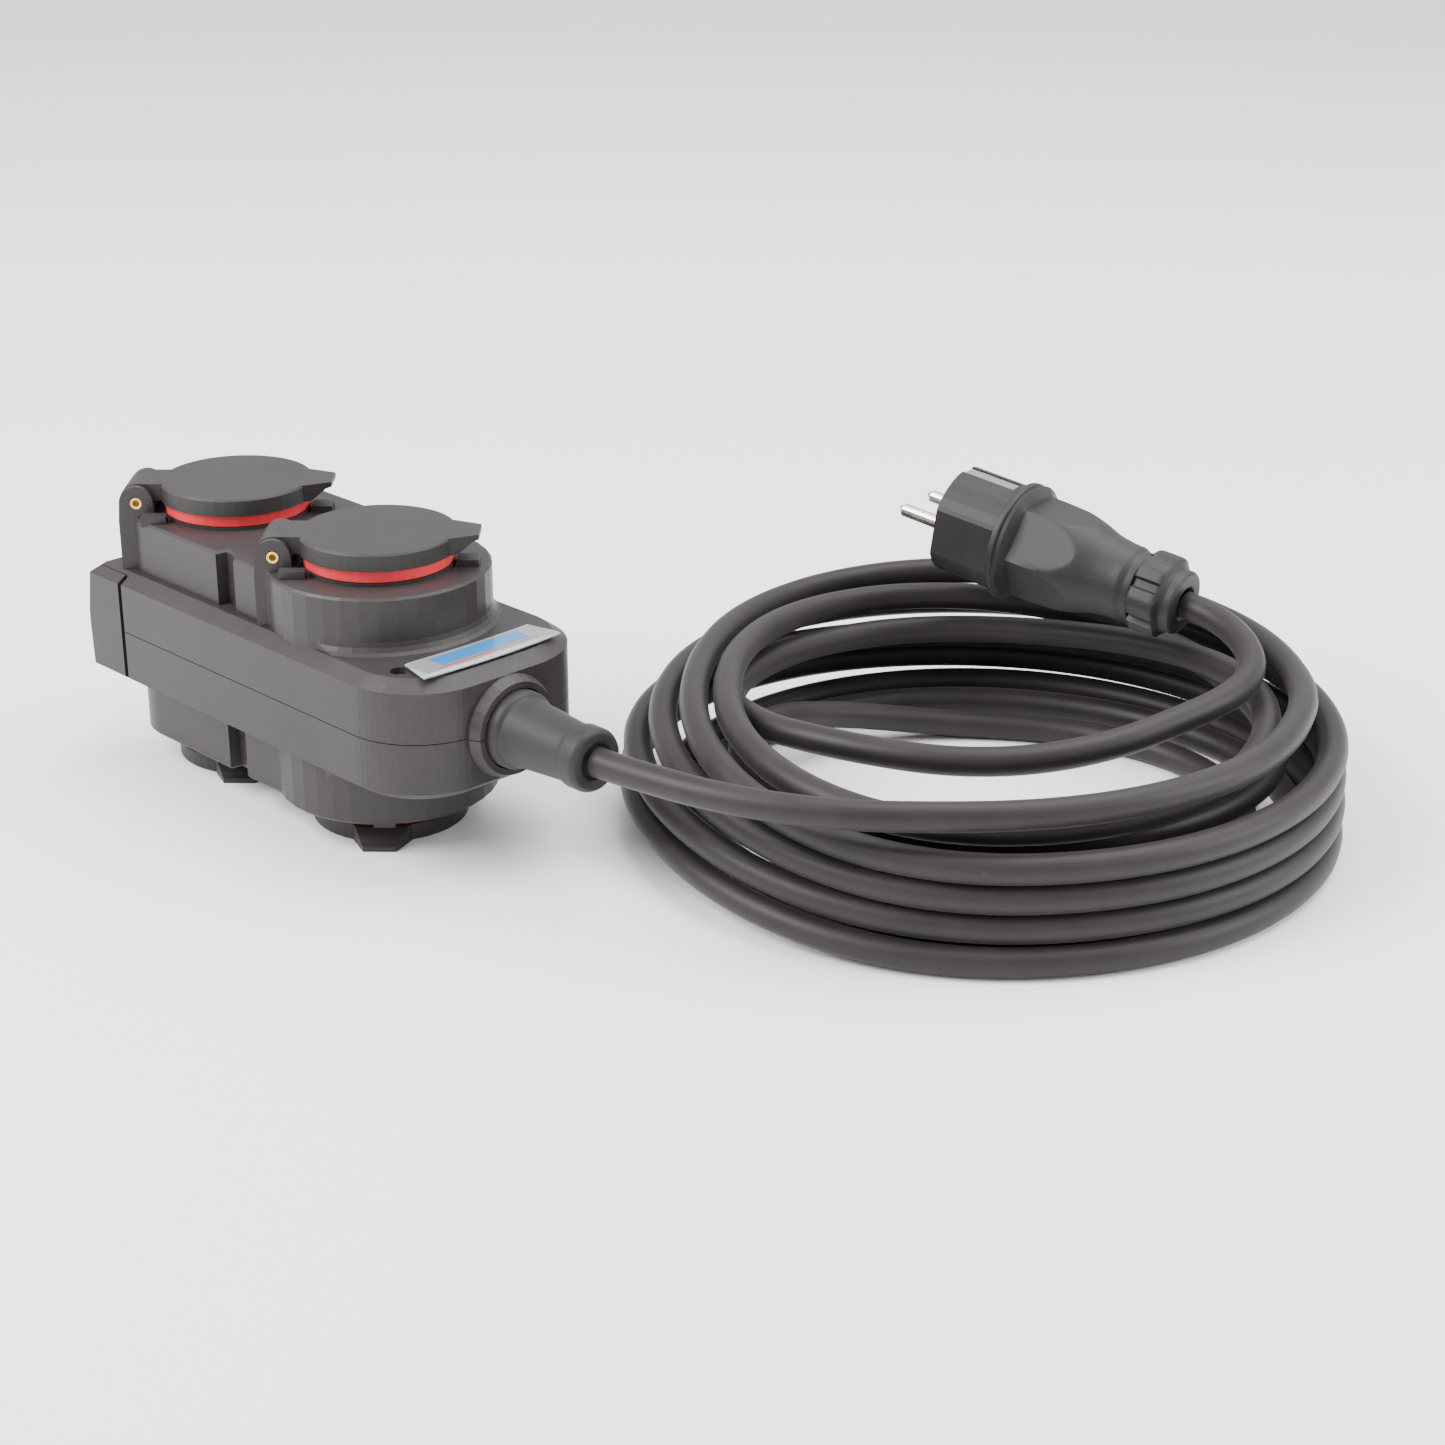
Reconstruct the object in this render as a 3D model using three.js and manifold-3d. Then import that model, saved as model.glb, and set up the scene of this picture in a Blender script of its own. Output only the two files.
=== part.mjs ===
// Portable power distribution box: four earthed sockets under spring lids, two on
// the upper side and two on the lower side, with a coiled rubber lead and its plug.
// Millimetres, +Z up. The origin is at the bottom centre of the box itself: the box
// rests on its two lower lids at z = 0, and the lead leaves it towards +X.
import * as THREE from 'three';
import { mergeVertices } from 'three/addons/utils/BufferGeometryUtils.js';
import Module from 'manifold-3d';

const wasm = await Module();
wasm.setup();

// ---- driving dimensions -------------------------------------------------
const TOTAL_HEIGHT = 100;          // lower lid face to upper lid face
const MID = TOTAL_HEIGHT / 2;      // parting plane of the two shells
const GAP = 0.3;                   // clearance between touching pieces
const WALL = 3;

const BASE = {
  length: 177, width: 80.5, side: 34,           // side = height of the upright wall
  chamferIn: 5, chamferUp: 3.5,                 // sloped edge above and below it
  noseRadius: 27, tailRadius: 8, tailRun: 20,   // the tail is cut to its own profile
};
const BLOCK = {
  halfWidth: 33, top: 89, tailX: -81.5, tailRadius: 20, noseRadius: 36.7,
  grooveStart: -19.3, grooveEnd: -9.4, grooveDepth: 4, edge: 0.8,
};
const SOCKET_X = [-52.5, 25.5];                 // rear and front socket centres
const SOCKET_TURN = Math.PI / 4;                // sockets sit turned in the housing
const SOCKET = {
  openingR: 21.6, cupR: 21.3, recessR: 19.8, rim: 90, floorTop: 72, floor: 3,
  flangeR: 24, flangeZ: 83.2, flangeH: 2.4, pinHoleR: 2.7, pinOffset: 9.5,
};
const COLLAR = { inner: 21.6, outer: 25.2, top: 90 };
const SEAL = { inner: 20.6, outer: 24.7, bottom: 90.3, top: 93.9 };
const LID = {
  radius: 26, bottom: 94.2, top: 100, recessR: 19.6, recess: 3, edge: 0.6,
  tabRoot: 9.5, tabTip: 5.4, tabReach: 33.3, tabTipZ: 98.6, maxOpenDeg: 115,
};
const HINGE = {
  reach: 32.8, z: 94, earR: 5.8, earFoot: 6.3, earIn: 8.7, earOut: 11.2,
  knuckleR: 6, knuckleHalf: 8.4, pocketHalf: 3.4, boreR: 2.3,
  pinR: 2, pinBoreR: 1.2, troughR: 6.3,
};
const END_CAP = { length: 19.5, wall: 3.4, endWall: 4.5 };
const BOSS = { radius: 17, outerX: 93, boreR: 13.4 };
const BOOT = { flangeR: 15, flangeX: [80, 83.5], neckR: 12.8, tipR: 9.2, tipX: 124, ringR: 10.2, endX: 130.1 };
const SCREW = { x: 69.5, y: -27.5, shankR: 1.6, headR: 2.9, headZ: 66.5, postR: 4.6 };
const LABEL = { x: 76.4, length: 56.4, width: 14.6, thick: 1.7 };

const CORD_R = 4.8;
const COIL = { x: 165.7, y: 139.2, inner: 86, outer: 122, height: 44 };

// Route of the lead from the boot to where it settles on the coil.
const LEAD_ROUTE = [
  [130.4, 0, 50], [134, 0.05, 50], [147.2, 2.1, 50], [169, 6.3, 50], [189.5, 13.7, 50],
  [210, 26, 49.8], [229.5, 45.4, 49.6], [246, 66, 49.4], [258, 87, 49.4],
  [266, 110, 49.4], [269.5, 135, 49.4], [267, 160, 49.4], [259, 184, 49.4],
  [246.5, 206, 49.4], [228, 226, 49.4], [206, 240, 49.4],
];
// Route of the tail from inside the coil, round its opening and up to the plug.
const TAIL_ROUTE = [
  [118, 78, 39], [131, 74.5, 40], [146, 74, 41.5], [170, 80, 42], [194, 92, 42],
  [213, 110, 43], [226, 135, 45], [231.5, 160, 47.6], [234.2, 178, 49.4], [231.4, 196.6, 50.9],
  [224.7, 207.7, 52.8], [213.8, 216.7, 55], [200.6, 221.7, 57.1],
  [189.95, 222.25, 58.55], [186.45, 221.77, 59.03],
];

const PLUG = {
  nutEnd: new THREE.Vector3(186, 221.7, 59.1),
  axis: new THREE.Vector3(-0.975, -0.165, 0.142).normalize(),
  length: 92, headR: 19.5, headFlat: 17.6, headLength: 24, collarR: 21.6, collarLength: 6,
  bodyR: 18.6, waistR: 12.6, nutLength: 16, nutR: 14.2, pinR: 2.4, pinOut: 19,
};

// ---- materials ----------------------------------------------------------
function plain(color, roughness, metalness = 0) {
  return new THREE.MeshStandardMaterial({ color, roughness, metalness });
}
const FINISH = {
  shell: plain(0x3b3839, 0.55),
  lid: plain(0x353334, 0.6),
  rubber: plain(0x2b2828, 0.75),
  seal: plain(0xcf2a33, 0.6),
  brass: plain(0xc39a4d, 0.3, 1),
  steel: plain(0xb9b9b6, 0.35, 1),
  nickel: plain(0xcfcdc4, 0.2, 1),
  insert: plain(0x242324, 0.5),
  label: plain(0xb8bcc2, 0.25),
};

// ---- solids -------------------------------------------------------------
function toSolid(geometry) {
  const bare = geometry.clone();
  bare.deleteAttribute('normal');
  bare.deleteAttribute('uv');
  const merged = mergeVertices(bare, 1e-4);
  return new wasm.Manifold(new wasm.Mesh({
    numProp: 3,
    vertProperties: new Float32Array(merged.attributes.position.array),
    triVerts: new Uint32Array(merged.index.array),
  }));
}

function toGeometry(solid) {
  const mesh = solid.getMesh();
  const geometry = new THREE.BufferGeometry();
  geometry.setAttribute('position', new THREE.BufferAttribute(mesh.vertProperties, 3));
  geometry.setIndex(new THREE.BufferAttribute(mesh.triVerts, 1));
  geometry.computeVertexNormals();
  return geometry;
}

// A lathe of [radius, z] points about Z, at x, y.
function turned(points, segments = 36, x = 0, y = 0) {
  const profile = points.map(([r, z]) => new THREE.Vector2(r, z));
  const geometry = new THREE.LatheGeometry(profile, segments);
  geometry.rotateX(Math.PI / 2);
  geometry.translate(x, y, 0);
  return toSolid(geometry);
}

// A solid ring with a square section.
function ringSolid(inner, outer, z0, z1, segments = 36, x = 0, y = 0) {
  return turned([[inner, z0], [outer, z0], [outer, z1], [inner, z1], [inner, z0]], segments, x, y);
}

function disc(radius, z0, z1, segments = 36, x = 0, y = 0) {
  return turned([[0, z0], [radius, z0], [radius, z1], [0, z1]], segments, x, y);
}

function block(x0, x1, y0, y1, z0, z1) {
  const geometry = new THREE.BoxGeometry(x1 - x0, y1 - y0, z1 - z0);
  geometry.translate((x0 + x1) / 2, (y0 + y1) / 2, (z0 + z1) / 2);
  return toSolid(geometry);
}

// The outline as a plain polygon, without points that fall on each other.
function polygon(shape, curveSegments) {
  const points = shape.getPoints(curveSegments);
  const kept = points.filter((p, i) => p.distanceTo(points[(i + points.length - 1) % points.length]) > 0.02);
  return new THREE.Shape(kept);
}

// A flat outline raised from z0 to z1, with an optional sloped edge inside that height.
function raised(shape, z0, z1, edgeIn = 0, edgeUp = 0, curveSegments = 10) {
  const geometry = new THREE.ExtrudeGeometry(polygon(shape, curveSegments), {
    depth: z1 - z0 - 2 * edgeUp,
    bevelEnabled: edgeIn > 0,
    bevelSize: edgeIn,
    bevelOffset: -edgeIn,
    bevelThickness: edgeUp,
    bevelSegments: 1,
  });
  geometry.translate(0, 0, z0 + edgeUp);
  return toSolid(geometry);
}

// A profile drawn in (x, z) and run along y from y0 to y1.
function alongY(shape, y0, y1, curveSegments = 10) {
  const outline = polygon(shape, curveSegments);
  const geometry = new THREE.ExtrudeGeometry(outline, { depth: y1 - y0, bevelEnabled: false });
  geometry.rotateX(Math.PI / 2);
  geometry.translate(0, y1, 0);
  return toSolid(geometry);
}

// A cylinder along y, used for pins and bores.
function rodY(radius, y0, y1, x, z, segments = 20) {
  const geometry = new THREE.CylinderGeometry(radius, radius, y1 - y0, segments);
  geometry.translate(x, (y0 + y1) / 2, z);
  return toSolid(geometry);
}

// A lathe of [radius, x] points about the X axis, at height z.
function turnedX(points, z, segments = 32) {
  const profile = points.map(([r, x]) => new THREE.Vector2(r, x));
  const geometry = new THREE.LatheGeometry(profile, segments);
  geometry.rotateZ(-Math.PI / 2);
  geometry.translate(0, 0, z);
  return toSolid(geometry);
}

function roundedOutline(x0, x1, y0, y1, tailRadius, noseRadius, inset = 0) {
  const [a, b, c, d] = [x0 + inset, x1 - inset, y0 + inset, y1 - inset];
  const rt = Math.max(tailRadius - inset, 0.5);
  const rn = Math.max(noseRadius - inset, 0.5);
  const shape = new THREE.Shape();
  shape.moveTo(a + rt, c);
  shape.lineTo(b - rn, c);
  shape.absarc(b - rn, c + rn, rn, -Math.PI / 2, 0, false);
  shape.absarc(b - rn, d - rn, rn, 0, Math.PI / 2, false);
  shape.lineTo(a + rt, d);
  shape.absarc(a + rt, d - rt, rt, Math.PI / 2, Math.PI, false);
  shape.absarc(a + rt, c + rt, rt, Math.PI, 1.5 * Math.PI, false);
  return shape;
}

// Plan outline of the raised block: a long side with a hollow groove between the
// sockets on both flanks, one full round tail corner and a drum round the front socket.
function blockOutline(inset = 0) {
  const h = BLOCK.halfWidth - inset;
  const nose = BLOCK.noseRadius - inset;
  const noseX = SOCKET_X[1];
  const swing = Math.PI - Math.asin(h / nose);
  const tail = BLOCK.tailX + inset;
  const radius = BLOCK.tailRadius - inset;
  const depth = BLOCK.grooveDepth;
  const [g0, g1] = [BLOCK.grooveStart - inset, BLOCK.grooveEnd + inset];
  const shape = new THREE.Shape();
  shape.moveTo(tail + radius, -h);
  shape.lineTo(g0, -h);
  shape.lineTo(g0 + 0.6, -h + depth);
  shape.quadraticCurveTo(g1 - 3, -h + depth, g1, -h);
  shape.absarc(noseX, 0, nose, -swing, swing, false);
  shape.lineTo(g1, h);
  shape.quadraticCurveTo(g1 - 3, h - depth, g0 + 0.6, h - depth);
  shape.lineTo(g0, h);
  shape.lineTo(tail + radius, h);
  shape.absarc(tail + radius, h - radius, radius, Math.PI / 2, Math.PI, false);
  shape.absarc(tail + radius, -h + radius, radius, Math.PI, 1.5 * Math.PI, false);
  return shape;
}

// Moves a solid from a socket's own frame (hinge towards -x, tab towards +x) to the box.
function atSocket(solid, index) {
  return solid.rotate([0, 0, THREE.MathUtils.radToDeg(SOCKET_TURN)]).translate([SOCKET_X[index], 0, 0]);
}

// ---- housing ------------------------------------------------------------
const HALF_L = BASE.length / 2;
const HALF_W = BASE.width / 2;
const BASE_TOP = MID + BASE.side / 2 + BASE.chamferUp;
const CAP_FRONT = -HALF_L + END_CAP.length;

// Side profile of the tail: a shallow V with a sloped edge above and below.
function tailProfile() {
  const [top, low] = [BASE_TOP, TOTAL_HEIGHT - BASE_TOP];
  const shape = new THREE.Shape();
  shape.moveTo(-HALF_L + 5.5, top + 1);
  shape.lineTo(-HALF_L + 5.5, top);
  shape.lineTo(-HALF_L + 2.4, top - 3.2);
  shape.lineTo(-HALF_L, MID + 2);
  shape.lineTo(-HALF_L, MID - 2);
  shape.lineTo(-HALF_L + 0.8, low + 2.4);
  shape.lineTo(-HALF_L + 3.2, low);
  shape.lineTo(-HALF_L + 3.2, low - 1);
  shape.lineTo(HALF_L + 20, low - 1);
  shape.lineTo(HALF_L + 20, top + 1);
  return shape;
}

function baseSolid() {
  const outline = roundedOutline(
    -HALF_L - BASE.tailRun, HALF_L, -HALF_W, HALF_W, BASE.tailRadius, BASE.noseRadius);
  const long = raised(outline, TOTAL_HEIGHT - BASE_TOP, BASE_TOP, BASE.chamferIn, BASE.chamferUp, 9);
  return long.intersect(alongY(tailProfile(), -HALF_W - 1, HALF_W + 1));
}

// The inner outline over which the end cap slides.
function tongueSolid(extra = 0) {
  const side = HALF_W - END_CAP.wall - GAP + extra;
  const end = -HALF_L + END_CAP.endWall + GAP - extra;
  return block(end, CAP_FRONT + 2, -side, side, -10, TOTAL_HEIGHT + 10);
}

// The flat-sided foot under one hinge, which stands proud of the block's flank.
function pedestalSolid(extra = 0) {
  const { reach, earFoot, earOut } = HINGE;
  return block(-reach - earFoot - extra, -reach + earFoot + 6, -earOut - extra, earOut + extra,
    BASE_TOP - 5 - extra, BLOCK.top - 1.2);
}

// The cap clips over both shells at the tail; its rim is notched round the rear feet.
function endCap() {
  const band = block(-HALF_L - 1, CAP_FRONT, -HALF_W - 1, HALF_W + 1, -10, TOTAL_HEIGHT + 10);
  const foot = atSocket(pedestalSolid(GAP), 0);
  const footBelow = foot.rotate([180, 0, 0]).translate([0, 0, TOTAL_HEIGHT]);
  return baseSolid().intersect(band).subtract(tongueSolid(GAP)).subtract(foot).subtract(footBelow);
}

function earShape() {
  const { reach, z, earR, earFoot } = HINGE;
  const shape = new THREE.Shape();
  shape.moveTo(-reach - earFoot, BLOCK.top - 1.2);
  shape.lineTo(-reach + earFoot, BLOCK.top - 1.2);
  shape.lineTo(-reach + earR, z);
  shape.absarc(-reach, z, earR, 0, Math.PI, false);
  shape.lineTo(-reach - earFoot, BLOCK.top - 1.2);
  return shape;
}

// Hinge pedestal, its two ears, the seal seat and the two small stops of one socket.
function socketGrowth(index) {
  const { earIn, earOut } = HINGE;
  const parts = [
    pedestalSolid(),
    alongY(earShape(), -earOut, -earIn, 8),
    alongY(earShape(), earIn, earOut, 8),
    disc(COLLAR.outer, BLOCK.top - 2, COLLAR.top, 40),
    block(-30, -21.5, -18.6, -14.6, BLOCK.top - 1, BLOCK.top + 2.8),
    block(25.8, 33, -5.5, 1.5, BLOCK.top - 1, BLOCK.top + 2.4),
  ];
  return parts.map((part) => atSocket(part, index));
}

function socketCuts(index) {
  const { reach, z, troughR, earIn, earOut, boreR } = HINGE;
  const cuts = [
    rodY(troughR, -earIn, earIn, -reach, z, 24),
    rodY(boreR, -earOut - 1, earOut + 1, -reach, z, 16),
    disc(SOCKET.openingR, BLOCK.top - 12, COLLAR.top + 1, 40),
  ];
  return cuts.map((cut) => atSocket(cut, index));
}

// The hollow curve by which the drum runs out into the base at the front.
function drumFoot() {
  const r = BLOCK.noseRadius;
  const z = BASE_TOP;
  const curve = [0, 1, 2, 3, 4].map((k) => {
    const a = (Math.PI / 2) * (k / 4);
    return [r + 4.4 * (1 - Math.sin(a)), z - 0.4 + 4.4 * (1 - Math.cos(a))];
  });
  const ring = turned([[r - 2, z - 2], [r + 4.4, z - 2], ...curve, [r - 2, z + 4], [r - 2, z - 2]], 48, SOCKET_X[1]);
  const within = raised(roundedOutline(30, HALF_L - 5.6, -HALF_W + 5.6, HALF_W - 5.6, 1, 21), z - 3, z + 6, 0, 0, 8);
  return ring.intersect(within);
}

function upperShell() {
  let outside = baseSolid();
  const capZone = block(-HALF_L - 1, CAP_FRONT + 2, -HALF_W - 1, HALF_W + 1, -10, TOTAL_HEIGHT + 10);
  outside = outside.subtract(capZone.subtract(tongueSolid()));
  outside = outside.add(raised(blockOutline(), BASE_TOP - 12, BLOCK.top, BLOCK.edge, BLOCK.edge, 12));
  outside = outside.add(drumFoot());
  outside = outside.add(turnedX([[0, 80], [BOSS.radius, 80], [BOSS.radius, HALF_L + 1], [15.4, BOSS.outerX], [0, BOSS.outerX]], MID));
  SOCKET_X.forEach((_, index) => {
    socketGrowth(index).forEach((part) => { outside = outside.add(part); });
  });
  const hollowOutline = roundedOutline(
    -HALF_L + END_CAP.endWall + WALL, HALF_L - WALL, -HALF_W + END_CAP.wall + WALL - 0.4,
    HALF_W - END_CAP.wall - WALL + 0.4, 2, 22);
  let inside = raised(hollowOutline, 20, BASE_TOP - WALL, 0, 0, 7);
  inside = inside.add(raised(blockOutline(WALL), 20, BLOCK.top - WALL, 0, 0, 9));
  const post = disc(SCREW.postR, 20, BASE_TOP, 18, SCREW.x, SCREW.y);
  const lowerPost = disc(SCREW.postR, 20, BASE_TOP, 18, SCREW.x, -SCREW.y);
  const shellBody = outside.subtract(inside.subtract(post).subtract(lowerPost));
  let shell = shellBody;
  SOCKET_X.forEach((_, index) => {
    socketCuts(index).forEach((cut) => { shell = shell.subtract(cut); });
  });
  const { boreR } = BOSS;
  const bootBore = turnedX([
    [0, 70], [boreR, 70], [boreR, BOOT.flangeX[0] - GAP], [BOOT.flangeR + GAP, BOOT.flangeX[0] - GAP],
    [BOOT.flangeR + GAP, BOOT.flangeX[1] + GAP], [boreR, BOOT.flangeX[1] + GAP],
    [boreR, BOSS.outerX + 1], [0, BOSS.outerX + 1]], MID);
  shell = shell.subtract(bootBore);
  shell = shell.subtract(disc(SCREW.shankR + 0.3, 0, SCREW.headZ, 14, SCREW.x, SCREW.y));
  shell = shell.subtract(disc(SCREW.headR + 0.3, SCREW.headZ - 0.1, BASE_TOP + 1, 14, SCREW.x, SCREW.y));
  shell = shell.subtract(disc(1.7, MID - 1, BASE_TOP - 6, 14, SCREW.x, -SCREW.y));
  const above = block(-120, 120, -60, 60, MID + GAP / 2, 120);
  return shell.intersect(above);
}

// Soft gasket just inside the parting line, open at the end where the lead comes in.
function shellGasket() {
  const outer = roundedOutline(-HALF_L + 7.9, HALF_L - 3.6, -HALF_W + 6.4, HALF_W - 6.4, 1.6, 21);
  const inner = roundedOutline(-HALF_L + 9.9, HALF_L - 5.2, -HALF_W + 8.4, HALF_W - 8.4, 1.4, 20);
  const loop = raised(outer, MID - 1.4, MID + 1.4, 0, 0, 8).subtract(raised(inner, MID - 3, MID + 3, 0, 0, 8));
  const opening = block(60, 120, -60, 60, 0, 100);
  return loop.subtract(opening);
}

// ---- socket parts, in a socket's own frame ------------------------------
function socketInsert() {
  const { cupR, recessR, rim, floorTop, floor, flangeR, flangeZ, flangeH, pinHoleR, pinOffset } = SOCKET;
  let cup = turned([
    [0, floorTop - floor], [cupR, floorTop - floor], [cupR, flangeZ], [flangeR, flangeZ],
    [flangeR, flangeZ + flangeH], [cupR, flangeZ + flangeH], [cupR, rim], [recessR, rim],
    [recessR, floorTop], [0, floorTop]], 36);
  [-1, 1].forEach((side) => {
    cup = cup.subtract(disc(pinHoleR, floorTop - floor - 1, floorTop + 1, 14, 0, side * pinOffset));
    const slot = side > 0 ? block(18, 21.0, -3.4, 3.4, floorTop - floor - 1, rim - 4)
      : block(-21.0, -18, -3.4, 3.4, floorTop - floor - 1, rim - 4);
    cup = cup.subtract(slot);
  });
  return cup;
}

// U-shaped earth contact: it runs under the cup's floor and up both side slots.
function earthClip() {
  const { floorTop, floor, rim } = SOCKET;
  const under = floorTop - floor - GAP;
  const shape = new THREE.Shape();
  shape.moveTo(-20.6, under - 1);
  shape.lineTo(20.6, under - 1);
  shape.lineTo(20.6, rim - 6);
  shape.lineTo(18.8, rim - 9);
  shape.lineTo(19.4, rim - 9.6);
  shape.lineTo(19.4, under);
  shape.lineTo(-19.4, under);
  shape.lineTo(-19.4, rim - 9.6);
  shape.lineTo(-18.8, rim - 9);
  shape.lineTo(-20.6, rim - 6);
  shape.closePath();
  return alongY(shape, -3, 3);
}

function lidSeal() {
  return ringSolid(SEAL.inner, SEAL.outer, SEAL.bottom, SEAL.top, 40);
}

function lid() {
  const { radius, bottom, top, recessR, recess, edge, tabRoot, tabTip, tabReach, tabTipZ } = LID;
  const { reach, z, knuckleR, knuckleHalf, pocketHalf, boreR } = HINGE;
  let body = turned([
    [0, bottom + recess], [recessR, bottom + recess], [recessR, bottom], [radius, bottom],
    [radius, top - edge], [radius - edge, top], [0, top]], 48);
  const tab = new THREE.Shape();
  tab.moveTo(20, -tabRoot - 1);
  tab.lineTo(24.4, -tabRoot);
  tab.lineTo(tabReach, -tabTip);
  tab.lineTo(tabReach, tabTip);
  tab.lineTo(24.4, tabRoot);
  tab.lineTo(20, tabRoot + 1);
  const under = new THREE.Shape();
  under.moveTo(26.5, bottom - 1);
  under.lineTo(tabReach + 1, bottom - 1);
  under.lineTo(tabReach + 1, tabTipZ);
  under.lineTo(tabReach - 2, tabTipZ - 0.8);
  under.lineTo(29, tabTipZ - 2.6);
  under.lineTo(26.5, bottom);
  body = body.add(raised(tab, bottom, top).subtract(alongY(under, -20, 20)));
  body = body.add(block(-reach, -20.5, -knuckleHalf, knuckleHalf, bottom, top));
  body = body.add(rodY(knuckleR, -knuckleHalf, knuckleHalf, -reach, z, 28));
  body = body.subtract(disc(recessR, bottom - 2, bottom + recess, 40));
  body = body.subtract(rodY(boreR, -12, 12, -reach, z, 16));
  const pocket = rodY(4.4, -pocketHalf, pocketHalf, -reach, z, 20)
    .add(block(-reach - 8, -reach + 4.4, -pocketHalf, pocketHalf, z - 8, z));
  return body.subtract(pocket);
}

function hingePin() {
  const { pinR, pinBoreR, earOut, reach, z } = HINGE;
  const half = earOut + 0.1;
  return rodY(pinR, -half, half, -reach, z, 18).subtract(rodY(pinBoreR, -half - 1, -half + 4, -reach, z, 12));
}

// The closing spring's winding, round the hinge pin between the lid's knuckles.
function lidSpring() {
  const { pocketHalf, reach, z, boreR } = HINGE;
  const half = pocketHalf - 0.4;
  return rodY(3.7, -half, half, -reach, z, 18).subtract(rodY(boreR + 0.2, -half - 1, half + 1, -reach, z, 14));
}

// ---- contacts -----------------------------------------------------------
const TERMINAL = { x: 60, screwR: 1.6 };
const RAIL_Y = SOCKET.pinOffset * Math.SQRT1_2;

// One rail feeds an upper and a lower pin contact at each pair of sockets.
function contactRail(side) {
  const across = RAIL_Y;
  const y = side * across;
  let rail = block(-66, 64, y - 0.9, y + 0.9, MID - 5, MID + 5).add(terminalEnd(y));
  rail = rail.subtract(terminalDrill(y));
  SOCKET_X.forEach((x) => {
    const up = SOCKET.floorTop - SOCKET.floor - 2 * GAP - 1;
    const upper = ringSolid(2.5, 3.6, MID + 6, up, 12, x - side * across, y)
      .add(disc(3.6, MID + 3, MID + 6, 12, x - side * across, y));
    const lower = ringSolid(2.5, 3.6, TOTAL_HEIGHT - up, MID - 6, 12, x + side * across, y)
      .add(disc(3.6, MID - 6, MID - 3, 12, x + side * across, y));
    rail = rail.add(upper).add(lower);
  });
  return rail;
}

// The square end of a rail, drilled from above for its terminal screw.
function terminalEnd(y) {
  return block(TERMINAL.x - 4, TERMINAL.x + 4, y - 3, y + 3, MID - 5, MID + 5);
}

function terminalDrill(y) {
  return disc(TERMINAL.screwR + GAP, MID - 1, MID + 6, 14, TERMINAL.x, y);
}

function terminalScrew(y) {
  return disc(TERMINAL.screwR, MID - 0.7, MID + 6.5, 14, TERMINAL.x, y);
}

function earthRail() {
  let rail = block(-72, 64, -0.9, 0.9, MID - 3, MID + 3).add(terminalEnd(0)).subtract(terminalDrill(0));
  const reachUp = SOCKET.floorTop - SOCKET.floor - 1 - 2 * GAP;
  SOCKET_X.forEach((x) => {
    rail = rail.add(disc(1.8, TOTAL_HEIGHT - reachUp, reachUp, 10, x, 0));
  });
  return rail;
}

// ---- lead entry ---------------------------------------------------------
function kinkBoot() {
  const { flangeR, flangeX, neckR, tipR, tipX, ringR, endX } = BOOT;
  return turnedX([
    [0, flangeX[0]], [flangeR, flangeX[0]], [flangeR, flangeX[1]], [neckR, flangeX[1]],
    [neckR, HALF_L + 5.5], [neckR - 1.2, HALF_L + 7], [tipR, tipX - 3], [ringR, tipX],
    [ringR, endX - 1], [ringR - 1, endX], [0, endX]], MID, 28);
}

const CLAMP = { x: 73, half: 3.5, halfWidth: 15, screwY: 11, screwR: 1.5 };

function clampPart(z0, z1) {
  const { x, half, halfWidth, screwY, screwR } = CLAMP;
  return block(x - half, x + half, -halfWidth, halfWidth, z0, z1)
    .subtract(disc(screwR + GAP, 37, 99, 14, x, screwY))
    .subtract(disc(screwR + GAP, 37, 99, 14, x, -screwY));
}

function clampScrew(side) {
  const { x, screwY, screwR } = CLAMP;
  const head = MID + 9 + GAP;
  return turned([
    [0, 38], [screwR, 38], [screwR, head], [2.8, head], [2.8, head + 2], [0, head + 2]],
  14, x, side * screwY);
}

function shellScrew() {
  const { x, y, shankR, headR, headZ } = SCREW;
  return turned([[0, 40], [shankR, 40], [shankR, headZ], [headR, headZ], [headR, headZ + 2], [0, headZ + 2]], 14, x, y);
}

function labelPlate() {
  const { x, length, width, thick } = LABEL;
  const half = { x: width / 2, y: length / 2 };
  const shape = new THREE.Shape();
  shape.moveTo(x - half.x, -half.y + 3);
  shape.lineTo(x + half.x - 1.5, -half.y);
  shape.quadraticCurveTo(x + half.x + 1.4, 0, x + half.x - 1.5, half.y);
  shape.lineTo(x - half.x, half.y - 3);
  shape.quadraticCurveTo(x - half.x + 1.6, 0, x - half.x, -half.y + 3);
  return raised(shape, BASE_TOP + GAP, BASE_TOP + GAP + thick, 0.9, 0.7, 5);
}

// ---- plug, drawn along +Z from its nut and then laid on the coil --------
const PLUG_TOP = PLUG.length;
const HEAD_START = PLUG_TOP - PLUG.headLength;

function plugHead() {
  const { headR, headFlat, pinR } = PLUG;
  let head = disc(headR, HEAD_START + GAP, PLUG_TOP, 36);
  [-1, 1].forEach((side) => {
    const flat = block(-30, 30, 0, 10, 0, 120);
    head = head.subtract(flat.translate([0, side > 0 ? headFlat : -headFlat - 10, 0]));
    head = head.subtract(disc(pinR + GAP, PLUG_TOP - 6, PLUG_TOP + 1, 14, 0, side * 9.5));
    const slot = block(0, 2.4, -3.3, 3.3, HEAD_START + 3, PLUG_TOP + 1);
    head = head.subtract(slot.translate([side > 0 ? headR - 2.2 : -headR - 0.2, 0, 0]));
  });
  return head;
}

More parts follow.
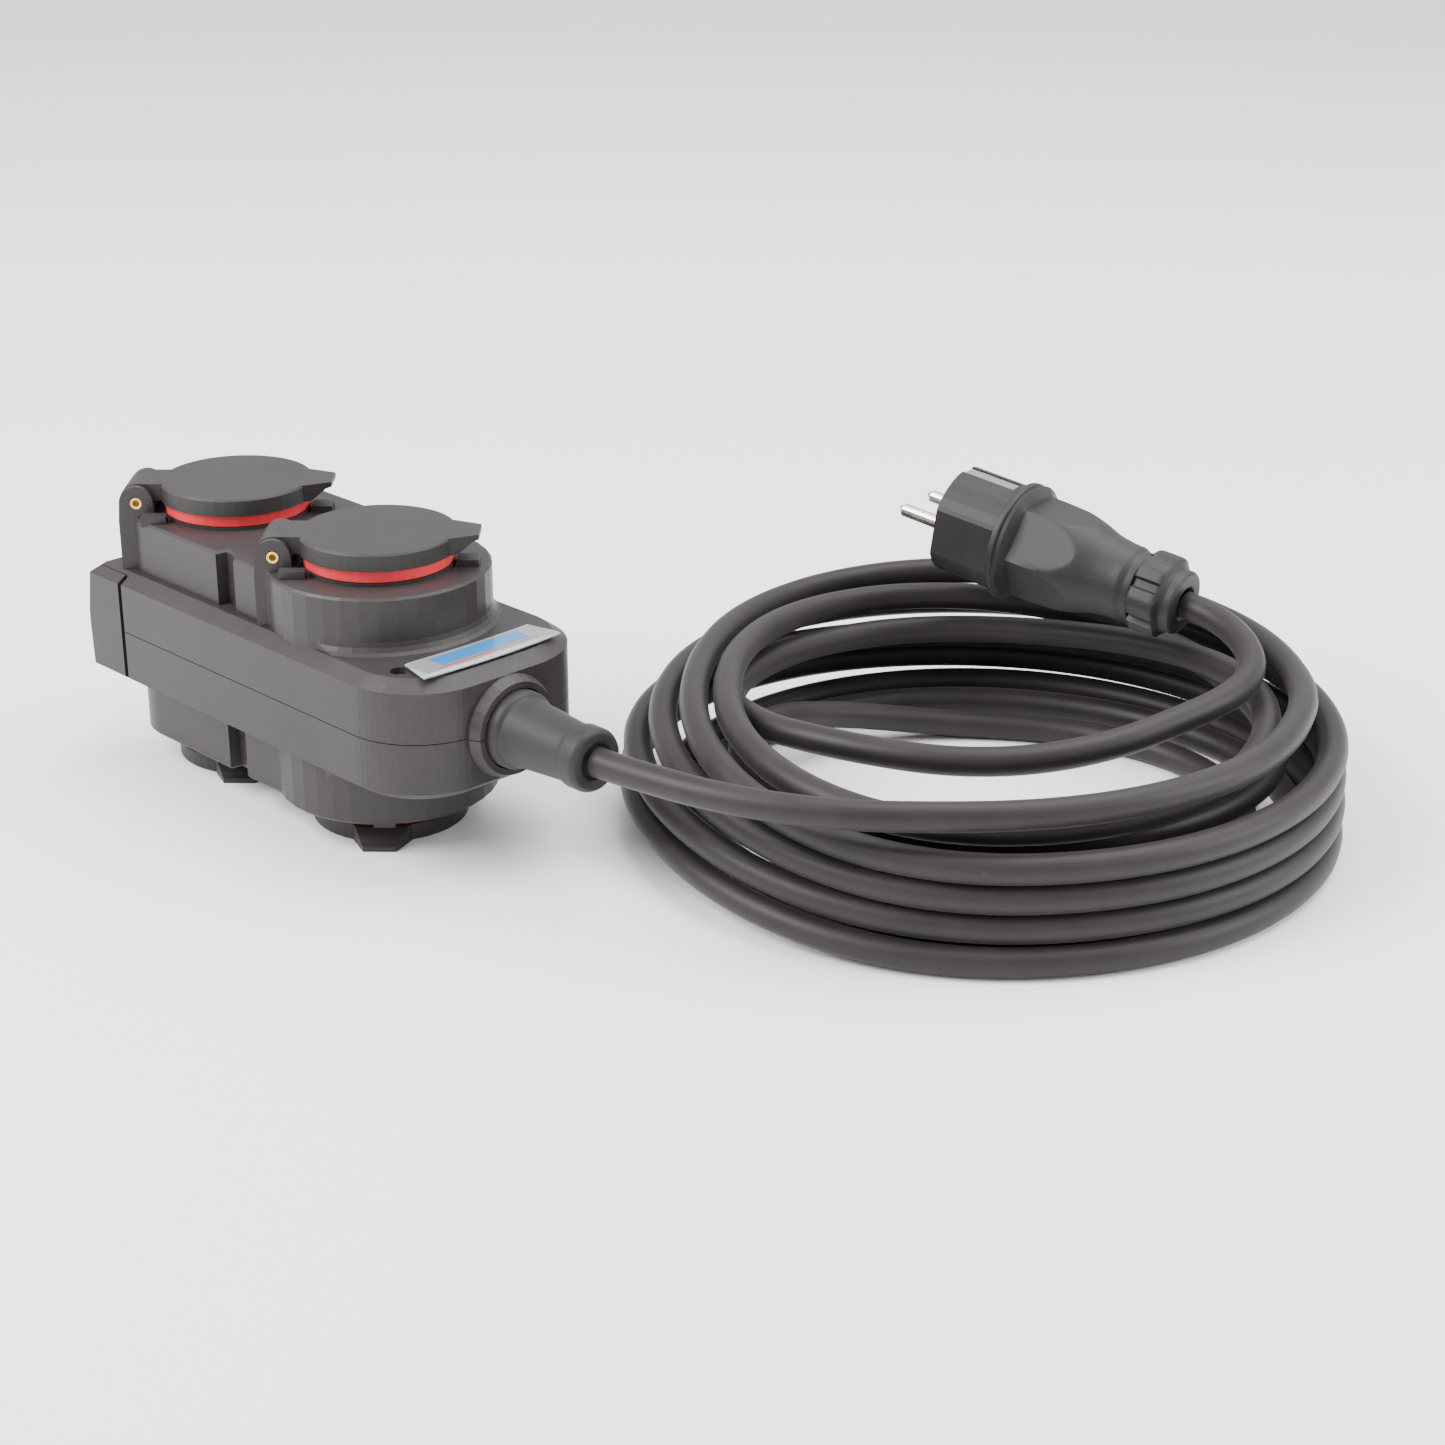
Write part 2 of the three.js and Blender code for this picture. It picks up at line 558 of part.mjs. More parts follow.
function plugGrip() {
  const { collarR, bodyR, waistR, nutLength, collarLength } = PLUG;
  const start = nutLength + GAP;
  return turned([
    [0, start], [waistR, start], [waistR + 0.8, start + 8], [bodyR, start + 28],
    [bodyR, HEAD_START - collarLength], [collarR, HEAD_START - collarLength], [collarR, HEAD_START],
    [0, HEAD_START]], 24);
}

function plugNut() {
  const { nutLength, nutR } = PLUG;
  return turned([[0, 0], [9.5, 0], [11.5, 3], [11.5, 5], [nutR, 5], [nutR, nutLength], [0, nutLength]], 12);
}

function plugPin(side) {
  const { pinR, pinOut } = PLUG;
  const y = side * 9.5;
  return turned([
    [0, PLUG_TOP - 5.6], [pinR, PLUG_TOP - 5.6], [pinR, PLUG_TOP + pinOut - 1.6],
    [pinR - 1.2, PLUG_TOP + pinOut], [0, PLUG_TOP + pinOut]], 14, 0, y);
}

function plugEarthStrip(side) {
  const x0 = side > 0 ? PLUG.headR - 1.9 : -PLUG.headR + 0.7;
  return block(x0, x0 + 1.2, -2.9, 2.9, HEAD_START + 3.4, PLUG_TOP - 0.5);
}

// ---- cord ---------------------------------------------------------------
function tube(route, steps, radius = CORD_R) {
  const curve = new THREE.CatmullRomCurve3(route.map((p) => new THREE.Vector3(...p)), false, 'centripetal');
  const section = new THREE.Shape();
  section.absarc(0, 0, radius, 0, 2 * Math.PI, false);
  const geometry = new THREE.ExtrudeGeometry(section, { steps, extrudePath: curve, curveSegments: 10 });
  return toSolid(geometry);
}

// ---- assembly -----------------------------------------------------------
// Everything above is drawn about the middle of the base; the boss for the lead makes
// the box a little longer at that end, so the whole is moved back by half of that.
const group = new THREE.Group();
const box = new THREE.Group();
box.position.x = -(BOSS.outerX - HALF_L) / 2;
group.add(box);

function place(parent, name, solid, material) {
  const mesh = new THREE.Mesh(toGeometry(solid), material);
  mesh.name = name;
  parent.add(mesh);
}

const housing = new THREE.Group();
box.add(housing);
const shellSolid = upperShell();
place(housing, 'upper_shell', shellSolid, FINISH.shell);
place(housing, 'end_cap', endCap(), FINISH.shell);
place(housing, 'shell_gasket', shellGasket(), FINISH.rubber);
place(housing, 'label_plate', labelPlate(), FINISH.label);
place(housing, 'kink_boot', kinkBoot(), FINISH.rubber);
place(housing, 'cord_clamp_bar', clampPart(MID + 5.5, MID + 9), FINISH.insert);
place(housing, 'cord_clamp_base', clampPart(TOTAL_HEIGHT - BASE_TOP + WALL + GAP, MID - 5.5), FINISH.insert);
place(housing, 'clamp_screw_left', clampScrew(1), FINISH.steel);
place(housing, 'clamp_screw_right', clampScrew(-1), FINISH.steel);
place(housing, 'live_rail', contactRail(-1), FINISH.brass);
place(housing, 'neutral_rail', contactRail(1), FINISH.brass);
place(housing, 'earth_rail', earthRail(), FINISH.brass);
place(housing, 'terminal_screw_live', terminalScrew(-RAIL_Y), FINISH.steel);
place(housing, 'terminal_screw_neutral', terminalScrew(RAIL_Y), FINISH.steel);
place(housing, 'terminal_screw_earth', terminalScrew(0), FINISH.steel);

// The lower half is the upper half turned over about the X axis.
const lowerHalf = new THREE.Group();
lowerHalf.position.z = TOTAL_HEIGHT;
lowerHalf.rotation.x = Math.PI;
box.add(lowerHalf);
place(lowerHalf, 'lower_shell', shellSolid, FINISH.shell);
place(housing, 'shell_screw_upper', shellScrew(), FINISH.steel);
place(lowerHalf, 'shell_screw_lower', shellScrew(), FINISH.steel);

const socketPieces = {
  socket_insert: [socketInsert(), FINISH.insert],
  earth_clip: [earthClip(), FINISH.nickel],
  lid_seal: [lidSeal(), FINISH.seal],
  hinge_pin: [hingePin(), FINISH.brass],
  lid_spring: [lidSpring(), FINISH.steel],
  lid: [lid(), FINISH.lid],
};
const halves = { upper: housing, lower: lowerHalf };
Object.entries(halves).forEach(([half, parent]) => {
  ['rear', 'front'].forEach((end, index) => {
    const seat = new THREE.Group();
    seat.position.x = SOCKET_X[index];
    seat.rotation.z = SOCKET_TURN;
    parent.add(seat);
    Object.entries(socketPieces).forEach(([piece, [solid, material]]) => {
      place(seat, `${piece}_${half}_${end}`, solid, material);
    });
  });
});

// The plug's pins lie level, side by side.
const plug = new THREE.Group();
const level = new THREE.Vector3(0, 0, 1).cross(PLUG.axis).normalize();
const upward = new THREE.Vector3().crossVectors(level, PLUG.axis);
plug.matrixAutoUpdate = false;
plug.matrix.makeBasis(upward, level, PLUG.axis.clone()).setPosition(PLUG.nutEnd);
plug.matrix.decompose(plug.position, plug.quaternion, plug.scale);
plug.matrixAutoUpdate = true;
box.add(plug);
place(plug, 'plug_head', plugHead(), FINISH.rubber);
place(plug, 'plug_grip', plugGrip(), FINISH.rubber);
place(plug, 'plug_nut', plugNut(), FINISH.rubber);
['left', 'right'].forEach((name, index) => {
  const side = index === 0 ? 1 : -1;
  place(plug, `plug_pin_${name}`, plugPin(side), FINISH.nickel);
  place(plug, `plug_earth_strip_${name}`, plugEarthStrip(side), FINISH.nickel);
});

place(box, 'cord_lead', tube(LEAD_ROUTE, 30), FINISH.rubber);
place(box, 'cord_tail', tube(TAIL_ROUTE, 26), FINISH.rubber);
place(box, 'cord_coil', ringSolid(COIL.inner, COIL.outer, 0, COIL.height, 56, COIL.x, COIL.y), FINISH.rubber);

export default group;
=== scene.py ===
"""Looks of a portable power distribution box: four sprung socket lids on a moulded
housing, a tapered kink boot and a coiled rubber lead that ends in its plug."""

import math

import bmesh
import bpy
from mathutils import Matrix, Vector


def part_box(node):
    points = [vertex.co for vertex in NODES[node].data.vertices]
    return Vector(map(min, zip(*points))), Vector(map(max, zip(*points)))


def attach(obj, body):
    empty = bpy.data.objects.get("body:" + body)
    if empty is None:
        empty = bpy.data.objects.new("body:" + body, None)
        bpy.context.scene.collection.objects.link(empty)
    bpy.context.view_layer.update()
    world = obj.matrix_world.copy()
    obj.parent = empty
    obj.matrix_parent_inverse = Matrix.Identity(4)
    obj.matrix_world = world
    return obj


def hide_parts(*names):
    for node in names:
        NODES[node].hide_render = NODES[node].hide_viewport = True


bl_info = {
    "name": "Power Distribution Box",
    "version": (1, 0, 0),
    "blender": (4, 5, 0),
    "location": "View3D > Sidebar > Power Box",
    "description": "Builds the finished look of a splash-proof socket box with its coiled lead",
    "category": "Object",
}

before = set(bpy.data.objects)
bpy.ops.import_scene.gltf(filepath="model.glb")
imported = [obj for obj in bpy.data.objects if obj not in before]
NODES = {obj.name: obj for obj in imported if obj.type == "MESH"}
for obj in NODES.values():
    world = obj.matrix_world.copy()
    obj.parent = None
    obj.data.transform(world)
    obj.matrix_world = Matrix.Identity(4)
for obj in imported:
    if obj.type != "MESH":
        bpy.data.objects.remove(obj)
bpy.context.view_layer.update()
HOUSING = "housing"

MM = 0.001
DATUM_X = -2.25                 # middle of the base against the frame's origin, in mm
HEIGHT = 100.0
MID = HEIGHT / 2
SOCKET_X = (-52.5, 25.5)
SOCKET_TURN = math.radians(45)  # every lid's hinge lies on a corner of the block
HINGE_REACH, HINGE_Z = 32.8, 94.0   # hinge pin: from its socket's middle, and above the floor
HALVES = ("upper", "lower")
ENDS = ("rear", "front")

CORD_R = 4.8                    # radius of the cable's sheath, in mm
BOOT_EXIT = 130.4               # where the cable leaves the kink boot
COIL_X, COIL_Y = 165.7, 139.2

# Points along the stretch from the boot to where the cable joins the coil.
LEAD_ROUTE = (
    (130.4, 0, 50), (134, 0.05, 50), (147.2, 2.1, 50), (169, 6.3, 50), (189.5, 13.7, 50),
    (210, 26, 49.8), (229.5, 45.4, 49.2), (246, 66, 48.6), (258, 87, 48.2), (266, 110, 47.8),
    (269.5, 135, 47.4), (267, 160, 47), (259, 184, 46.8),
)
# Each turn's distance from the coil's middle and its height, at the front, right, back and left.
COIL_TURNS = (
    ((112, 48.5), (105.2, 46.5), (122, 43.6), (95, 45.2)),
    ((115, 33.9), (115.5, 33.9), (118, 33.2), (105.5, 38)),
    ((115, 24.2), (115.5, 24.2), (108, 23.8), (114, 28.3)),
    ((115, 14.5), (116, 14.5), (113, 14.1), (115.3, 17.8)),
    ((118.5, 4.8), (115.6, 4.8), (109, 4.8), (105.5, 4.8)),
    ((104.7, 4.9), (105, 5), (90, 4.8), (94, 5)),
    ((94.5, 5), (88, 5), (66, 4.8), (78, 25)),
    ((92, 32.5), (97, 29), (104, 39.6), (84, 46.4)),
    ((101, 40), (93.5, 40.5), (93, 31.4), (86, 35)),
)
FRONT_ANGLE = -50               # degrees round the coil where each turn of the table starts
LEAD_JOINS_AT = 40              # degrees round the coil where the lead joins its top turn
LAST_PART_TURN = 255            # degrees of the last turn that are still in the coil
COIL_STEP = 15                  # degrees between points of the coil
COIL_EXIT = (100.5, 87.3, 36)   # where the last turn leaves the coil's wall for its opening
# Points along the stretch that climbs out of the coil to the plug.
TAIL_ROUTE = (
    (118, 78, 39), (131, 74.5, 40), (146, 74, 41.5), (170, 80, 42), (194, 92, 42),
    (213, 110, 43), (226, 135, 45), (231.5, 160, 47.6), (234.2, 178, 49.4), (231.4, 196.6, 50.9),
    (224.7, 207.7, 52.8), (213.8, 216.7, 55), (200.6, 221.7, 57.1), (189.95, 222.25, 58.55),
    (186.45, 221.77, 59.03),
)

# Plug: end of its cord nut, the way it points, and its length, head and collar along that way.
PLUG_NUT_END = Vector((186, 221.7, 59.1))
PLUG_AXIS = Vector((-0.975, -0.165, 0.142)).normalized()
PLUG_LENGTH, PLUG_HEAD = 92.0, 24.0
PLUG_COLLAR = 6.0


def at(x, y, z):
    """A point of the drawing, in millimetres about the base's middle, in the row frame."""
    return Vector((x + DATUM_X, y, z)) * MM


# ---- shader expressions --------------------------------------------------------
# Sockets of the Mix node by number when it mixes colours.
MIX_FACTOR, MIX_FIRST, MIX_SECOND, MIX_RESULT = 0, 6, 7, 2


class Signal:
    """One output socket of a material, which can be used in a sum or a product."""

    def __init__(self, mat, socket):
        self.mat, self.socket = mat, socket

    def _math(self, operation, *values):
        return self.mat.node("ShaderNodeMath", {"operation": operation}, *values)

    def __add__(self, other):
        return self._math("ADD", self, other)

    def __sub__(self, other):
        return self._math("SUBTRACT", self, other)

    def __rsub__(self, other):
        return self._math("SUBTRACT", other, self)

    def __mul__(self, other):
        return self._math("MULTIPLY", self, other)

    def __truediv__(self, other):
        return self._math("DIVIDE", self, other)

    def __gt__(self, other):
        return self._math("GREATER_THAN", self, other)

    def __lt__(self, other):
        return self._math("LESS_THAN", self, other)

    def absolute(self):
        return self._math("ABSOLUTE", self)

    __radd__, __rmul__ = __add__, __mul__


class Material:
    """A node material whose varying inputs are written as expressions."""

    def __init__(self, name, **fixed):
        self.data = bpy.data.materials.new(name)
        self.data.use_nodes = True
        self.tree = self.data.node_tree
        self.shader = self.tree.nodes["Principled BSDF"]
        for socket, value in fixed.items():
            self.shader.inputs[socket.replace("_", " ")].default_value = value
        self.place = self.node("ShaderNodeNewGeometry", {}, out="Position")
        self.normal = self.node("ShaderNodeNewGeometry", {}, out="Normal")

    def node(self, kind, settings, *values, out=0, **named):
        """Adds a node: settings first, then the values or links of its sockets."""
        made = self.tree.nodes.new(kind)
        for key, value in settings.items():
            setattr(made, key, value)
        for key, value in [*enumerate(values), *named.items()]:
            socket = made.inputs[key]
            if isinstance(value, Signal):
                self.tree.links.new(value.socket, socket)
            else:
                socket.default_value = value
        return Signal(self, made.outputs[out])

    def noise(self, scale, detail=4.0, rough=0.6, stretch=None):
        """Cloudy 0 to 1 pattern fixed in the frame; stretch scales its three axes."""
        place = self.place
        if stretch:
            place = self.node("ShaderNodeVectorMath", {"operation": "MULTIPLY"}, place, stretch)
        return self.node("ShaderNodeTexNoise", {}, out="Fac", Vector=place, Scale=scale,
                         Detail=detail, Roughness=rough)

    def ramp(self, value, low, high):
        """0 under low, 1 over high, smooth between them."""
        return self.node("ShaderNodeMapRange", {"interpolation_type": "SMOOTHSTEP"}, value, low,
                         high, 0.0, 1.0)

    def mix(self, factor, first, second):
        """The first colour where the factor is 0 and the second where it is 1."""
        sockets = {MIX_FACTOR: factor, MIX_FIRST: first, MIX_SECOND: second}
        made = self.tree.nodes.new("ShaderNodeMix")
        made.data_type = "RGBA"
        for key, value in sockets.items():
            if isinstance(value, Signal):
                self.tree.links.new(value.socket, made.inputs[key])
            else:
                made.inputs[key].default_value = value
        return Signal(self, made.outputs[MIX_RESULT])

    def axis(self, vector, letter):
        """One of a vector's three parts: X, Y or Z."""
        return self.node("ShaderNodeSeparateXYZ", {}, vector, out=letter)

    def bump(self, height, distance):
        """A relief of this height pattern, distance metres deep."""
        return self.node("ShaderNodeBump", {}, out="Normal", Height=height, Distance=distance,
                         Strength=1.0)

    def feed(self, **links):
        """Links signals to the shader's sockets and returns the finished material."""
        for socket, signal in links.items():
            self.tree.links.new(signal.socket, self.shader.inputs[socket.replace("_", " ")])
        return self.data


def shade(rgb, factor=1.0):
    """A colour made lighter or darker by a factor, with its alpha."""
    return (*(min(1.0, c * factor) for c in rgb), 1.0)


def moulded(name, rgb, rough, grain, dust_and_sheen=0.05):
    """Moulded plastic: grain, cloudy tone, rubbed patches, scuffs, and a pale dusting on top that is
    partly a painted sheen.
    """
    mat = Material(name, Specular_IOR_Level=0.32, IOR=1.5)
    cloud = mat.noise(38, 5, 0.62)
    fine = mat.noise(900, 3, 0.7)
    speck = mat.ramp(mat.noise(2600, 1, 0.5), 0.68, 0.76)
    rub = mat.ramp(mat.noise(120, 6, 0.75, stretch=(1.0, 1.0, 2.4)), 0.60, 0.78)
    # Upward faces get pale flecks: partly a settled dusting, partly a painted highlight on the tops.
    up = mat.ramp(mat.axis(mat.normal, "Z"), 0.35, 1.0)
    tone = mat.mix(mat.ramp(cloud, 0.25, 0.8), shade(rgb, 0.84), shade(rgb, 1.22))
    tone = mat.mix(rub * 0.32, tone, shade((0.11, 0.10, 0.10)))
    tone = mat.mix(speck * 0.10 + up * fine * dust_and_sheen, tone, shade((0.30, 0.28, 0.27)))
    roughness = (cloud - 0.5) * 0.10 + fine * 0.10 + rub * -0.06 + (rough - 0.04)
    scuff = mat.ramp(mat.noise(60, 3, 0.8, stretch=(0.35, 3.0, 3.0)), 0.66, 0.70)
    height = mat.noise(1500, 2, 0.55) * 0.75 + mat.noise(420, 3, 0.6) * 0.35 - scuff * 0.22
    return mat.feed(Base_Color=tone, Roughness=roughness, Normal=mat.bump(height, grain * MM))


def rubber(name, rgb, rough, grain):
    """Matt rubber: soft cloudy tone, fine talc in the pores and a slightly uneven skin."""
    mat = Material(name, Specular_IOR_Level=0.27, Sheen_Weight=0.05, Sheen_Roughness=0.5)
    cloud = mat.noise(55, 4, 0.6)
    talc = mat.ramp(mat.noise(230, 6, 0.78), 0.60, 0.82)
    tone = mat.mix(mat.ramp(cloud, 0.2, 0.85), shade(rgb, 0.82), shade(rgb, 1.25))
    tone = mat.mix(talc * 0.16, tone, shade([0.5 * (c + 0.34) for c in rgb]))
    roughness = (cloud - 0.5) * 0.14 + talc * 0.10 + (rough + 0.02)
    height = mat.noise(1400, 2, 0.6) * 0.6 + mat.noise(260, 3, 0.6) * 0.5
    return mat.feed(Base_Color=tone, Roughness=roughness, Normal=mat.bump(height, grain * MM))


TURNING_MARKS = 0.02            # depth in mm


def metal(name, rgb, rough, tarnish):
    """Plain metal with turning marks and a cloudy oxide film."""
    mat = Material(name, Metallic=1.0)
    film = mat.ramp(mat.noise(160, 5, 0.7), 0.42, 0.72)
    lines = mat.noise(2400, 2, 0.5, stretch=(1.0, 1.0, 0.08))
    tone = mat.mix(film * 0.55, shade(rgb), shade(tarnish))
    roughness = film * 0.16 + lines * 0.10 + (rough - 0.04)
    return mat.feed(Base_Color=tone, Roughness=roughness, Normal=mat.bump(lines, TURNING_MARKS * MM))


# ---- meshes --------------------------------------------------------------------
def piece(name, mesh, material, replaced, smooth_angle):
    """Puts a finished mesh in the scene, on the housing, in place of its CAD nodes."""
    obj = bpy.data.objects.new(name, mesh)
    bpy.context.scene.collection.objects.link(obj)
    mesh.materials.append(material)
    finish_edges(obj, smooth_angle, 0.0)
    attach(obj, HOUSING)
    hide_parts(*replaced)


def finish_edges(obj, angle, bevel):
    """Rounds the edges sharper than angle by bevel mm and gives even shading over the flats."""
    mesh = obj.data
    if bevel:
        edge = obj.modifiers.new("rounded edges", "BEVEL")
        edge.width = bevel * MM
        edge.segments = 2
        edge.limit_method = "ANGLE"
        edge.angle_limit = math.radians(angle)
        edge.harden_normals = False
        edge.miter_outer = "MITER_ARC"
    mesh.shade_smooth()
    mesh.set_sharp_from_angle(angle=math.radians(angle))
    if bevel:
        even = obj.modifiers.new("even shading", "WEIGHTED_NORMAL")
        even.mode = "FACE_AREA_WITH_ANGLE"
        even.keep_sharp = True
        even.weight = 60


def mesh_of(build, name):
    """Runs build on an empty bmesh and returns its mesh in metres."""
    bm = bmesh.new()
    build(bm)
    bmesh.ops.recalc_face_normals(bm, faces=bm.faces)
    mesh = bpy.data.meshes.new(name)
    bm.to_mesh(mesh)
    bm.free()
    return mesh


def loft(bm, rings, bored=False):
    """Joins rings of points with quads. A bored part runs back to its first ring, others are capped."""
    rows = [[bm.verts.new(p) for p in ring] for ring in rings]
    pairs = list(zip(rows, rows[1:]))
    if bored:
        pairs.append((rows[-1], rows[0]))
    for low, high in pairs:
        for i in range(len(low)):
            j = (i + 1) % len(low)
            bm.faces.new((low[i], low[j], high[j], high[i]))
    if not bored:
        bm.faces.new(list(reversed(rows[0])))
        bm.faces.new(rows[-1])


def spin(bm, profile, place, segments, relief=None, bored=False):
    """A lathe of (radius, station) points; place maps (x, y, station) to the frame, and relief
    gives what is added to the radius at an angle, radius and station."""
    rings = []
    for radius, station in profile:
        ring = []
        for k in range(segments):
            a = 2 * math.pi * k / segments
            r = radius + (relief(a, radius, station) if relief else 0.0)
            ring.append(place(r * math.cos(a), r * math.sin(a), station))
        rings.append(ring)
    loft(bm, rings, bored)


def soften(profile, radius=0.5, steps=3):
    """Rounds the corners of a profile with short arcs."""
    out = [profile[0]]
    for before, corner, after in zip(profile, profile[1:], profile[2:]):
        c = Vector(corner)
        into, away = Vector(before) - c, Vector(after) - c
        cut = min(radius, into.length * 0.45, away.length * 0.45)
        a, b = c + into.normalized() * cut, c + away.normalized() * cut
        for k in range(steps + 1):
            t = k / steps
            p = a * (1 - t) ** 2 + c * 2 * t * (1 - t) + b * t ** 2
            out.append((p.x, p.y))
    out.append(profile[-1])
    return out


# ---- cord ----------------------------------------------------------------------
def eased(values, t):
    """Value at t along evenly spaced values, with no overshoot between them."""
    k = min(int(t), len(values) - 2)
    f = t - k

    def slope(i):
        if i <= 0 or i >= len(values) - 1:
            return 0.0
        a, b = values[i] - values[i - 1], values[i + 1] - values[i]
        return 0.0 if a * b <= 0 else 2 * a * b / (a + b)

    h = values[k + 1] - values[k]
    m0, m1 = slope(k), slope(k + 1)
    return values[k] + f * (m0 + f * (3 * h - 2 * m0 - m1 + f * (m0 + m1 - 2 * h)))


def coil_points(first_angle, last_angle, step):
    """Points round the coil in the drawing, every step degrees."""
    radii, heights = zip(*(station for turn in COIL_TURNS for station in turn))
    out = []
    for angle in range(first_angle, last_angle + 1, step):
        quarter = (angle - FRONT_ANGLE) / 90
        radius = eased(radii, quarter)
        a = math.radians(angle)
        out.append((COIL_X + radius * math.cos(a), COIL_Y + radius * math.sin(a),
                    eased(heights, quarter)))
    return out


def smooth_route(points, spacing):
    """An even polyline on a centripetal curve through the points, in metres."""
    pts = [at(*p) for p in points]
    pts = [pts[0] * 2 - pts[1], *pts, pts[-1] * 2 - pts[-2]]
    fine = []
    for p0, p1, p2, p3 in zip(pts, pts[1:], pts[2:], pts[3:]):
        t0 = 0.0
        t1 = t0 + (p1 - p0).length ** 0.5
        t2 = t1 + (p2 - p1).length ** 0.5
        t3 = t2 + (p3 - p2).length ** 0.5
        count = max(4, int((p2 - p1).length / (spacing * MM * 0.3)))
        for k in range(count):
            t = t1 + (t2 - t1) * k / count
            a1 = p0 * ((t1 - t) / (t1 - t0)) + p1 * ((t - t0) / (t1 - t0))
            a2 = p1 * ((t2 - t) / (t2 - t1)) + p2 * ((t - t1) / (t2 - t1))
            a3 = p2 * ((t3 - t) / (t3 - t2)) + p3 * ((t - t2) / (t3 - t2))
            b1 = a1 * ((t2 - t) / (t2 - t0)) + a2 * ((t - t0) / (t2 - t0))
            b2 = a2 * ((t3 - t) / (t3 - t1)) + a3 * ((t - t1) / (t3 - t1))
            fine.append(b1 * ((t2 - t) / (t2 - t1)) + b2 * ((t - t1) / (t2 - t1)))
    fine.append(pts[-2])
    runs = [0.0]
    for a, b in zip(fine, fine[1:]):
        runs.append(runs[-1] + (b - a).length)
    count = max(2, round(runs[-1] / (spacing * MM)))
    even, k = [], 0
    for n in range(count):
        along = runs[-1] * n / count
        while runs[k + 1] < along:
            k += 1
        even.append(fine[k].lerp(fine[k + 1], (along - runs[k]) / (runs[k + 1] - runs[k])))
    even.append(fine[-1])
    for _ in range(8):
        even[1:-1] = [(a + b * 2 + c) / 4 for a, b, c in zip(even, even[1:], even[2:])]
    return even


def round_wire(name, route, radius, roundness, material):
    """A round wire or cable along a route of points."""
    curve = bpy.data.curves.new(name, "CURVE")
    curve.dimensions = "3D"
    curve.bevel_depth = radius * MM
    curve.bevel_resolution = roundness
    curve.use_fill_caps = True
    spline = curve.splines.new("POLY")
    spline.points.add(len(route) - 1)
    for point, place in zip(spline.points, route):
        point.co = (*place, 1.0)
    curve.materials.append(material)
    obj = bpy.data.objects.new(name, curve)
    bpy.context.scene.collection.objects.link(obj)
    return obj


# ---- sizes and colours a user would change ---------------------------------------
def colour_setting(label, text, default):
    """A colour that the panel shows."""
    return bpy.props.FloatVectorProperty(name=label, description=text, subtype="COLOR", size=3,
                                         min=0.0, max=1.0, default=default)


def length_setting(label, text, default):
    """A length in metres that the panel shows."""
    return bpy.props.FloatProperty(name=label, description=text, default=default,
                                   subtype="DISTANCE", unit="LENGTH")


class BoxFinish(bpy.types.PropertyGroup):
    """Colours and surfaces of the housing and its lids."""
    housing: colour_setting("Housing", "Base colour of the moulded housing", (0.027, 0.0225, 0.0232))
    lids: colour_setting("Lids", "Base colour of the sprung lids", (0.024, 0.0205, 0.021))
    seals: colour_setting("Seals", "Base colour of the lid seals", (0.66, 0.030, 0.040))
    inserts: colour_setting("Inserts", "Base colour of the socket inserts", (0.026, 0.025, 0.026))
    brass: colour_setting("Brass", "Colour of the hinge pins and rails", (0.62, 0.42, 0.16))
    nickel: colour_setting("Nickel", "Colour of the pins and earth clips", (0.66, 0.63, 0.56))
    grain: bpy.props.FloatProperty(name="Grain", description="Depth of the moulded grain in mm",
                                   default=0.045, min=0.0, max=0.5)
    edge: length_setting("Edge", "Rounding of the housing's edges", 0.55 * MM)


class CordFinish(bpy.types.PropertyGroup):
    """Colours and sizes of the lead, the kink boot and the plug."""
    sheath: colour_setting("Sheath", "Base colour of the cable's rubber sheath", (0.019, 0.015, 0.0156))
    plug: colour_setting("Plug", "Base colour of the plug", (0.022, 0.020, 0.021))
    boot: colour_setting("Boot", "Base colour of the kink boot", (0.022, 0.019, 0.020))
    spacing: length_setting("Spacing", "Distance between points along the cable", 3.2 * MM)


class StageFinish(bpy.types.PropertyGroup):
    """Floor, light and camera."""
    floor: colour_setting("Floor", "Colour of the floor", (0.96, 0.96, 0.96))
    key: bpy.props.FloatProperty(name="Key light", description="Power of the large soft light in watts",
                                 default=58.0, subtype="POWER", unit="POWER")
    fill: bpy.props.FloatProperty(name="Fill light", description="Strength of the light from all sides",
                                  default=1.1, min=0.0)
    lens: bpy.props.FloatProperty(name="Lens", description="Focal length of the camera",
                                  default=69.76, subtype="DISTANCE_CAMERA", unit="CAMERA")


FINISHES = {}


def finish_of(name, make):
    """The material of this name, made once and then shared."""
    if name not in FINISHES:
        FINISHES[name] = make()
    return FINISHES[name]


def box_finish(name):
    """A shared material of the housing, its sockets or its metal parts."""
    box = bpy.context.scene.power_box
    makers = {
        "housing": lambda: moulded("moulded housing", box.housing, 0.43, box.grain),
        "lid": lambda: moulded("moulded lid", box.lids, 0.50, box.grain * 0.8, 0.06),
        "insert": lambda: moulded("socket insert", box.inserts, 0.42, box.grain * 0.5, 0.02),
        "seal": lambda: rubber("red seal", box.seals, 0.52, 0.05),
        "brass": lambda: metal("turned brass", box.brass, 0.28, (0.34, 0.20, 0.07)),
        "nickel": lambda: metal("nickel plate", box.nickel, 0.20, (0.42, 0.38, 0.31)),
        "steel": lambda: metal("spring steel", (0.42, 0.42, 0.42), 0.32, (0.20, 0.18, 0.17)),
        "gasket": lambda: rubber("shell gasket", (0.02, 0.02, 0.02), 0.7, 0.04),
    }
    return finish_of(name, makers[name])


def dress(node, material, edge=0.0, angle=32):
    """Gives a solid its finish, rounded edges and even shading."""
    obj = NODES[node]
    obj.data.materials.clear()
    obj.data.materials.append(material)
    if obj.data.has_custom_normals:
        with bpy.context.temp_override(object=obj, active_object=obj):
            bpy.ops.mesh.customdata_custom_splitnormals_clear()
    finish_edges(obj, angle, edge)


